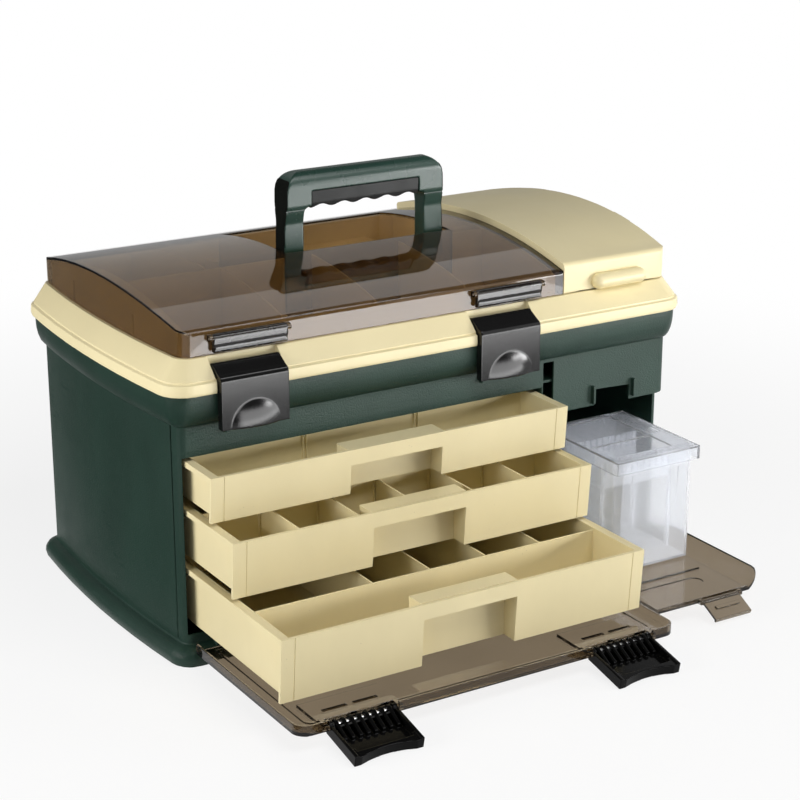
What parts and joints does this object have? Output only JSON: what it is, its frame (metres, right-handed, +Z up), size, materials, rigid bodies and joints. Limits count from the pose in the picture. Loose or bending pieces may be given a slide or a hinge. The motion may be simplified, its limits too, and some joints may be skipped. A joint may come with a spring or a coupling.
{
  "type": "tackle box",
  "caption": "Portable tackle box with bowed ends, sliding drawers, a lid with a compartment tray under see-through and solid covers, fold-down doors, a lift-out hook box and a folding handle.",
  "frame": {"origin": "centre of the flat resting face under the case", "axes": "+Z up, +X to the right seen from the front, +Y to the back; the drawers and doors face -Y"},
  "size_m": [0.5402, 0.5361, 0.3747],
  "materials": {
    "case_green": "dark green moulded plastic with a fine leather-like grain",
    "handle_green": "smooth dark green moulded plastic",
    "cream": "cream moulded plastic, satin",
    "smoke": "see-through smoke-brown plastic, polished",
    "black": "black moulded plastic, semi-gloss",
    "clear": "clear plastic, slightly frosted",
    "steel": "plain steel pins"
  },
  "bodies": {
    "case": {"case_shell": "case_green", "bay_partition": "case_green", "storage_floor": "case_green", "guide_left": "case_green", "guide_right": "case_green", "lid_pins": "steel", "front_door_pin": "steel", "side_door_pin": "steel"},
    "lid": {"lid_tray": "cream", "tray_dividers": "cream", "handle_well": "smoke", "lid_latch_pins": "steel", "cover_pins": "steel", "side_cover_pins": "steel", "handle_pins": "steel"},
    "smoke_cover_body": {"smoke_cover": "smoke", "cover_tab_pins": "steel"},
    "tab_left": {"cover_tab_left": "smoke"},
    "tab_right": {"cover_tab_right": "smoke"},
    "side_cover_body": {"side_cover": "cream"},
    "handle": {"handle_arch": "handle_green", "handle_grip": "black"},
    "latch_left": {"lid_latch_left": "black"},
    "latch_right": {"lid_latch_right": "black"},
    "front_door_body": {"front_door": "smoke", "door_latch_pins": "steel"},
    "door_catch_left": {"door_latch_left": "black"},
    "door_catch_right": {"door_latch_right": "black"},
    "side_door_body": {"side_door": "smoke", "side_latch_pin": "steel"},
    "side_catch": {"side_door_latch": "smoke"},
    "top_drawer": {"drawer_top": "cream"},
    "middle_drawer": {"drawer_middle": "cream", "middle_dividers": "cream"},
    "bottom_drawer": {"drawer_bottom": "cream", "bottom_dividers": "cream"},
    "hook_box_body": {"hook_box": "clear", "hook_rack": "clear", "hook_lid_pin": "steel"},
    "hook_lid_body": {"hook_lid": "clear"}
  },
  "joints": [
    {"name": "lid_hinge", "type": "hinge", "parent": "case", "child": "lid", "pos_m": [0, 0.16, 0.238], "axis": [-1, 0, 0], "range_deg": [0, 95]},
    {"name": "cover_hinge", "type": "hinge", "parent": "lid", "child": "smoke_cover_body", "pos_m": [0, 0.1553, 0.2685], "axis": [-1, 0, 0], "range_deg": [0, 85]},
    {"name": "handle_fold", "type": "hinge", "parent": "lid", "child": "handle", "pos_m": [0.006, 0.002, 0.2842], "axis": [-1, 0, 0], "range_deg": [0, 85]},
    {"name": "side_cover_hinge", "type": "hinge", "parent": "lid", "child": "side_cover_body", "pos_m": [0.194, 0.1553, 0.2685], "axis": [-1, 0, 0], "range_deg": [0, 90]},
    {"name": "tab_left_hinge", "type": "hinge", "parent": "smoke_cover_body", "child": "tab_left", "pos_m": [-0.181, -0.1389, 0.2797], "axis": [-1, 0, 0], "range_deg": [0, 110]},
    {"name": "tab_right_hinge", "type": "hinge", "parent": "smoke_cover_body", "child": "tab_right", "pos_m": [0.074, -0.1389, 0.2797], "axis": [-1, 0, 0], "range_deg": [0, 110]},
    {"name": "latch_left_hinge", "type": "hinge", "parent": "lid", "child": "latch_left", "pos_m": [-0.188, -0.1425, 0.255], "axis": [-1, 0, 0], "range_deg": [0, 95]},
    {"name": "latch_right_hinge", "type": "hinge", "parent": "lid", "child": "latch_right", "pos_m": [0.063, -0.1425, 0.255], "axis": [-1, 0, 0], "range_deg": [0, 95]},
    {"name": "front_door_hinge", "type": "hinge", "parent": "case", "child": "front_door_body", "pos_m": [-0.069, -0.15, 0.0215], "axis": [-1, 0, 0], "range_deg": [0, 3.2]},
    {"name": "door_latch_left_hinge", "type": "hinge", "parent": "front_door_body", "child": "door_catch_left", "pos_m": [-0.188, -0.328, 0.016], "axis": [-1, 0, 0], "range_deg": [0, 95]},
    {"name": "door_latch_right_hinge", "type": "hinge", "parent": "front_door_body", "child": "door_catch_right", "pos_m": [0.063, -0.328, 0.016], "axis": [-1, 0, 0], "range_deg": [0, 95]},
    {"name": "side_door_hinge", "type": "hinge", "parent": "case", "child": "side_door_body", "pos_m": [0.187, -0.15, 0.0215], "axis": [-1, 0, 0], "range_deg": [0, 0.7]},
    {"name": "side_door_latch_hinge", "type": "hinge", "parent": "side_door_body", "child": "side_catch", "pos_m": [0.198, -0.2965, 0.016], "axis": [-1, 0, 0], "range_deg": [0, 100]},
    {"name": "top_drawer_slide", "type": "slide", "parent": "case", "child": "top_drawer", "axis": [0, 1, 0], "range_m": [-0.155, 0.045]},
    {"name": "middle_drawer_slide", "type": "slide", "parent": "case", "child": "middle_drawer", "axis": [0, 1, 0], "range_m": [-0.118, 0.082]},
    {"name": "bottom_drawer_slide", "type": "slide", "parent": "case", "child": "bottom_drawer", "axis": [0, 1, 0], "range_m": [-0.04, 0.16]},
    {"name": "hook_box_slide", "type": "slide", "parent": "case", "child": "hook_box_body", "axis": [0, -1, 0], "range_m": [-0.074, 0.035]},
    {"name": "hook_lid_hinge", "type": "hinge", "parent": "hook_box_body", "child": "hook_lid_body", "pos_m": [0.187, -0.0994, 0.1246], "axis": [-1, 0, 0], "range_deg": [0, 30]}
  ],
  "couplings": [
    {"joint": "handle_fold", "follows": "cover_hinge", "ratio": 1}
  ]
}
